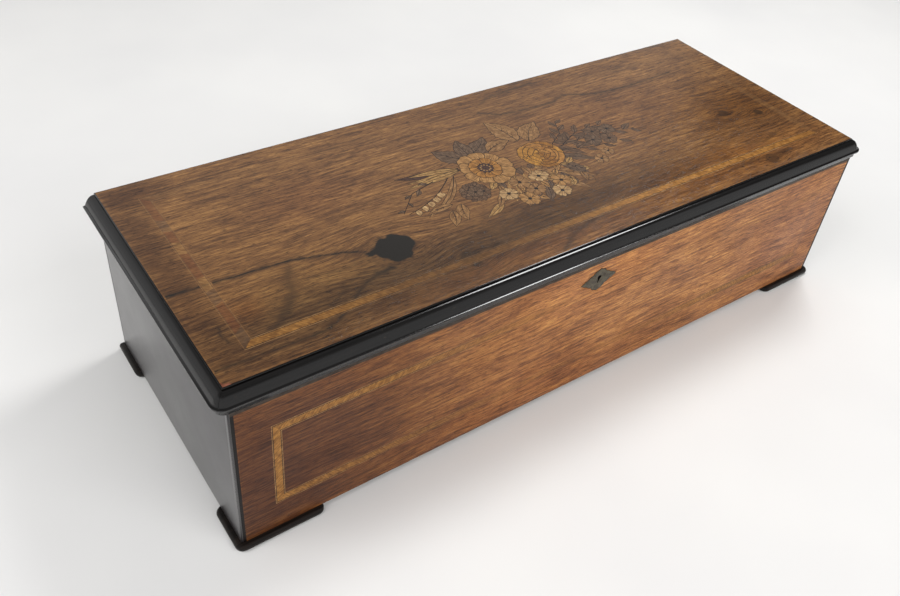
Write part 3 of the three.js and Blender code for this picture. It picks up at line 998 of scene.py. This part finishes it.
def drawFace(form, axis, level, loops, shapes, marks):
    # the same flat face again, cut into the inlaid pieces and a grid for the marks
    other = otherAxis(axis)
    points, faces = [], []
    for outline in loops + [shape["points"] for shape in shapes]:
        outline = turnedLeft(outline)
        faces.append(list(range(len(points), len(points) + len(outline))))
        points += outline
    outer = np.array(loops[0])
    box = (outer[:, 0].min(), outer[:, 0].max(), outer[:, 1].min(), outer[:, 1].max())
    points += gridPoints(box, marks)
    result = delaunay_2d_cdt([Vector(p) for p in points], [], faces, 0, 1e-4)
    spots, triangles, sources = result[0], result[2], result[5]

    holes = len(loops)
    made = [form.verts.new((p.x * mm, level, p.y * mm) if axis == 1 else (p.x * mm, p.y * mm, level))
            for p in spots]
    inlayLayer = form.loops.layers.float_color.new("inlay")
    turnLayer = form.loops.layers.float.new("turn")
    for face in form.faces:
        for loop in face.loops:
            loop[inlayLayer] = (0.0, 0.0, 0.0, 0.0)
    for corners, origin in zip(triangles, sources):
        if 0 not in origin or any(0 < o < holes for o in origin):
            continue
        face = form.faces.new([made[i] for i in corners])
        face.normal_update()
        if face.normal[axis] * (1 if axis == 2 else -1) < 0:
            face.normal_flip()
        top = max(origin)
        if top >= holes:
            shape = shapes[top - holes]
            for loop in face.loops:
                spot = Vector((loop.vert.co.x, loop.vert.co[other])) / mm
                loop[inlayLayer] = colourOf(tints[shape["tint"]], shareAt(spot, shape.get("fade")))
                loop[turnLayer] = shape["turn"]
        else:
            for loop in face.loops:
                loop[inlayLayer] = (0.0, 0.0, 0.0, 0.0)
    bmesh.ops.delete(form, geom=[v for v in form.verts if not v.link_faces], context="VERTS")
    bmesh.ops.remove_doubles(form, verts=form.verts, dist=2e-6)


def paintMarks(mesh, axis, level, marks):
    # the veins, the bent grain and the stains, kept at the mesh's own points
    co = np.zeros(len(mesh.vertices) * 3)
    mesh.vertices.foreach_get("co", co)
    co = co.reshape(-1, 3) / mm
    vein, flow, stain = markSheet(co[:, [0, otherAxis(axis)]], marks)
    onFace = np.abs(co[:, axis] - level / mm) < 3
    vein[~onFace] = 0
    for name, values in (("vein", vein), ("flow", flow)):
        mesh.attributes.new(name, "FLOAT", "POINT").data.foreach_set("value", values.astype(np.float32))
    four = np.concatenate([stain, np.ones((len(co), 1))], axis=1).astype(np.float32)
    mesh.attributes.new("stain", "FLOAT_COLOR", "POINT").data.foreach_set("color", four.ravel())


def inlaidPiece(name, node, axis, level, shapes, marks, finishNames):
    # the solid's own shape, with one flat face drawn again as pieces of veneer
    form = bmesh.new()
    form.from_mesh(solids[node].data)
    bmesh.ops.remove_doubles(form, verts=form.verts, dist=1e-6)
    drawFace(form, axis, level, takeOffFace(form, axis, level), shapes, marks)
    mesh = meshOf(name, form, node, finishNames)
    paintMarks(mesh, axis, level, marks)
    print(name, len(mesh.polygons), "faces")
    return linkPiece(name, mesh, node)


def meshOf(name, form, node, finishNames):
    for face in form.faces:
        face.material_index = lining(face, node) if len(finishNames) > 1 else 0
    mesh = bpy.data.meshes.new(name)
    form.to_mesh(mesh)
    form.free()
    for finish in finishNames:
        mesh.materials.append(finishes[finish])
    mesh.shade_smooth()
    mesh.set_sharp_from_angle(angle=math.radians(32))
    return mesh


bottomLow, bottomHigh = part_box("case_bottom")
places = {
    # in mm: the room inside the case, the room of the keyway, and where the front's corners begin
    "inside": ((-268.7, bottomLow.y / mm - 0.1, 13.4), (268.7, bottomHigh.y / mm + 0.1, 130.0)),
    "keyway": ((-22, -104.3, 97), (14, -94, 120)),
    "corner": 279.3,
}


def within(middle, room):
    low, high = places[room]
    return all(low[i] < middle[i] < high[i] for i in range(3))


def lining(face, node):
    # 0 on the faces that show when the box is shut, 1 on bare wood inside it or under the lid,
    # 2 on the lid board's black sides and in the keyway, whose black is painted shade, 3 on the front's
    # black corners
    middle = face.calc_center_median() / mm
    if node == "lid_panel":
        # the narrow facets beside its flat top are black too
        return 1 if face.normal.z < -0.5 else (2 if face.normal.z < 0.9995 else 0)
    # the plate's front keeps the plate finish, the rest takes the black finish, which in its keyhole is
    # painted shade
    if node == "escutcheon":
        return 0 if face.normal.y < -0.9 else 1
    # the keyway's walls take the black finish: painted shade inside the keyhole
    if node == "case_front" and within(middle, "keyway"):
        return 2
    if node == "case_front" and abs(middle.x) > places["corner"]:
        return 3
    return 1 if within(middle, "inside") or face.normal.z > 0.9 else 0


def makeLidBoard():
    low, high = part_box("lid_panel")
    shapes = []
    edge = lidInlay["edgeStrip"]
    outer = (low.x / mm, high.x / mm, low.y / mm, high.y / mm)
    turns = (0, quarterTurn, 0, quarterTurn)
    # the ring along the board's top edges is black, and grey on the left: a painted sheen, the reflection
    # seen on the board's left edge
    addRing(shapes, outer, (edge, edge), ("ebony", "ebony", "ebony", "edge"), turns)
    left, right, front, back = lidInlay["frameInset"]
    rect = (outer[0] + left, outer[1] - right, outer[2] + front, outer[3] - back)
    for width, colours, turns in lidInlay["frameParts"]:
        rect = addRing(shapes, rect, (width, width), colours, turns, lidInlay["fades"])
    shapes += drawBouquet()
    chip = [(outer[0] + x, outer[2] + y) for x, y in lidInlay["chip"]]
    shapes.append({"points": chip, "tint": "bare", "turn": 0.4})
    inlaidPiece("lidBoard", "lid_panel", 2, high.z, shapes, lidMarks,
                ("lidVeneer", "liningX", "mouldingX"))


def makeCaseFront():
    low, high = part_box("case_front")
    shapes = []
    corner, top = frontInlay["cornerStrip"], frontInlay["topStrip"]
    x0, x1, z0, z1 = low.x / mm, high.x / mm, low.z / mm, high.z / mm
    strips = [
        ((x0, x0 + corner, z0, z1), "ebony", quarterTurn),
        ((x1 - corner, x1, z0, z1), "ebony", quarterTurn),
        # a dim grey band along the top, under the moulding's overhang: painted shade with a grey sheen
        ((x0, x1, z1 - top, z1), "edge", 0),
    ]
    for box, tint, turn in strips:
        shapes.append({"points": [tuple(p) for p in cornersOf(box)], "tint": tint, "turn": turn})
    rect = frontInlay["frame"]
    for width, colours, turns in frontInlay["frameParts"]:
        rect = addRing(shapes, rect, (width * 0.97, width * 1.05), colours, turns, frontInlay["fades"])
    inlaidPiece("caseFront", "case_front", 1, low.y, shapes, frontMarks,
                ("frontVeneer", "liningX", "foot", "panelX"))


def dressed(name, node, finishNames, bevel=0.0, steps=2, minAngle=40):
    # the solid's own shape, with its sharp edges softened
    form = bmesh.new()
    form.from_mesh(solids[node].data)
    bmesh.ops.remove_doubles(form, verts=form.verts, dist=1e-6)
    bmesh.ops.dissolve_limit(form, angle_limit=math.radians(0.4), verts=form.verts, edges=form.edges)
    if bevel:
        sharp = [e for e in form.edges if len(e.link_faces) == 2
                 and e.calc_face_angle(0) > math.radians(minAngle)]
        bmesh.ops.bevel(form, geom=sharp, offset=bevel * mm, segments=steps, profile=0.5,
                        affect="EDGES", clamp_overlap=True)
    bmesh.ops.triangulate(form, faces=[f for f in form.faces if len(f.verts) > 4])
    return linkPiece(name, meshOf(name, form, node, finishNames), node)


def makeRest():
    dressed("caseBack", "case_back", ("panelX", "liningX"), bevel=0.4)
    dressed("caseLeftEnd", "case_left_end", ("panelY", "liningY"), bevel=0.2)
    dressed("caseRightEnd", "case_right_end", ("panelY", "liningY"), bevel=0.2)
    dressed("caseBottom", "case_bottom", ("liningX",), bevel=0.2)
    for side, finish in (("front", "mouldingX"), ("left", "mouldingY"), ("right", "mouldingY")):
        name = "moulding" + side.title()
        node = "lid_moulding_" + side
        dressed(name, node, (finish,), bevel=0.2, steps=1, minAngle=50)
    for place in ("front_left", "front_right", "back_left", "back_right"):
        name = "foot" + place.title().replace("_", "")
        dressed(name, "foot_" + place, ("foot",), bevel=0.3)
    dressed("escutcheon", "escutcheon", ("plate", "foot"), bevel=0.12)
    for side in ("left", "right"):
        for part, bevel in (("case_leaf", 0.15), ("lid_leaf", 0.15), ("pin", 0.2)):
            name = side + "Hinge" + part.title().replace("_", "")
            dressed(name, f"hinge_{side}_{part}", ("brass",), bevel)


makeLidBoard()
makeCaseFront()
makeRest()
print("pieces dressed")
